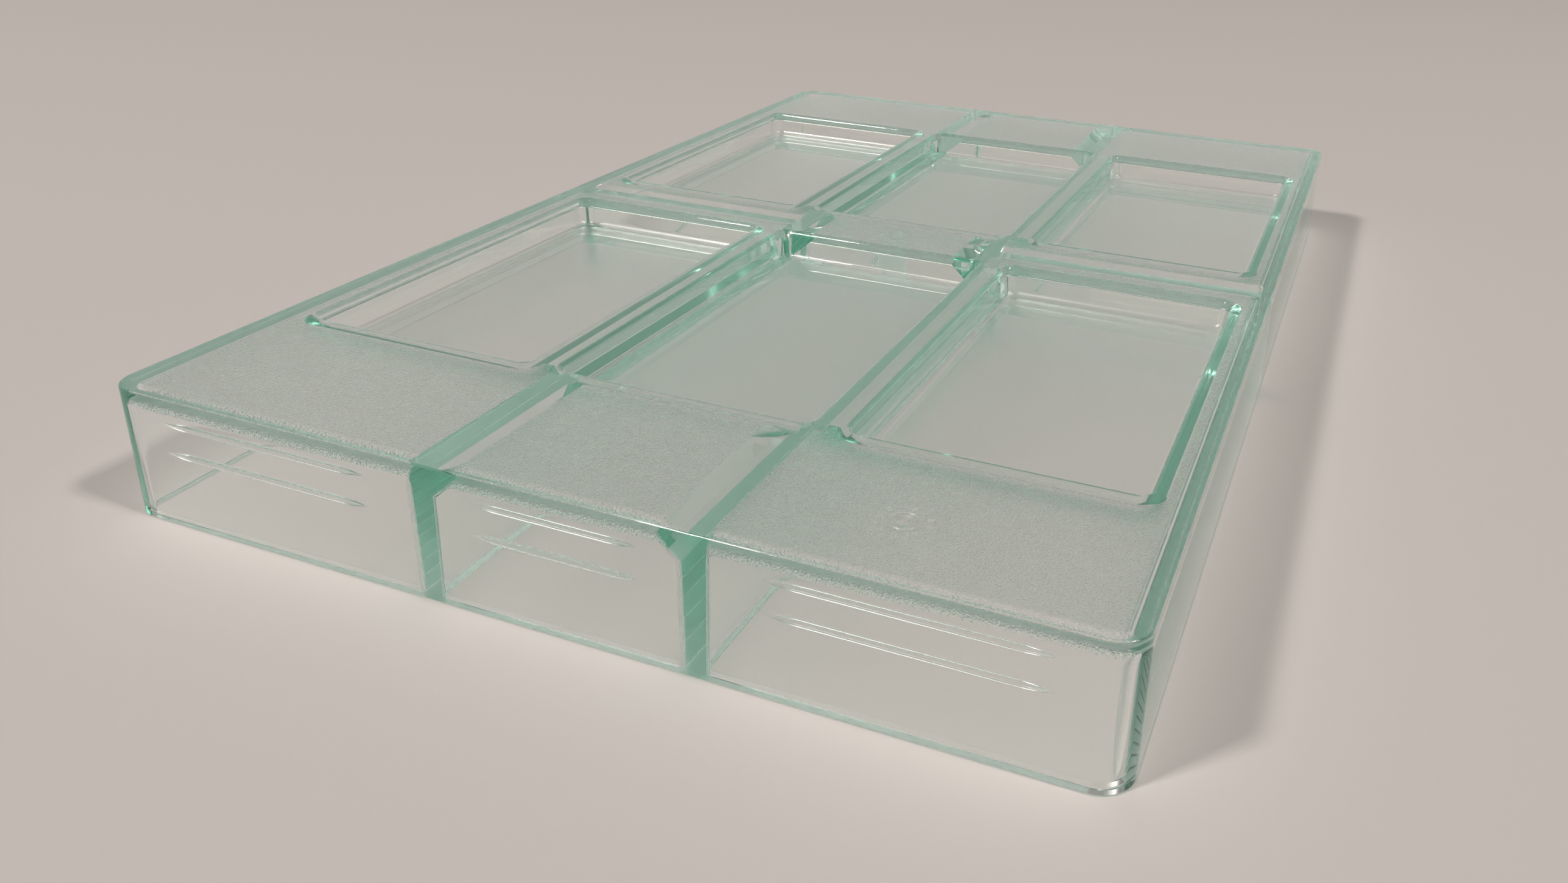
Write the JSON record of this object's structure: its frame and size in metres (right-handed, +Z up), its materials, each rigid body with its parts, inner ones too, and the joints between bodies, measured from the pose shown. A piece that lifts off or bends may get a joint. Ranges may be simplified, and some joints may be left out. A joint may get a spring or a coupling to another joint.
{
  "type": "chocolate bar mould",
  "caption": "Clear rigid tray mould with shallow rectangular bar cavities in a flat deck, on an open ribbed skirt.",
  "frame": {"origin": "centre of the footprint, on the surface that the mould stands on", "axes": "+X across the width, +Y along the length towards the rear wall, +Z up, out of the cavities"},
  "size_m": [0.175, 0.275, 0.024],
  "materials": {
    "clear_polycarbonate": "polished on the filling side and the outside, fine moulded texture underneath"
  },
  "bodies": {
    "root": {"deck_plate": "clear_polycarbonate", "front_wall": "clear_polycarbonate", "rear_wall": "clear_polycarbonate", "left_wall": "clear_polycarbonate", "right_wall": "clear_polycarbonate", "corner_front_left": "clear_polycarbonate", "corner_front_right": "clear_polycarbonate", "corner_rear_left": "clear_polycarbonate", "corner_rear_right": "clear_polycarbonate", "cup_front_left": "clear_polycarbonate", "cup_front_middle": "clear_polycarbonate", "cup_front_right": "clear_polycarbonate", "cup_rear_left": "clear_polycarbonate", "cup_rear_middle": "clear_polycarbonate", "cup_rear_right": "clear_polycarbonate", "web_front_left": "clear_polycarbonate", "web_front_right": "clear_polycarbonate", "web_rear_left": "clear_polycarbonate", "web_rear_right": "clear_polycarbonate", "long_rib_left": "clear_polycarbonate", "long_rib_right": "clear_polycarbonate", "cross_rib_left": "clear_polycarbonate", "cross_rib_right": "clear_polycarbonate", "front_beads": "clear_polycarbonate", "rear_beads": "clear_polycarbonate", "centre_post": "clear_polycarbonate", "date_dial": "clear_polycarbonate"}
  },
  "joints": []
}
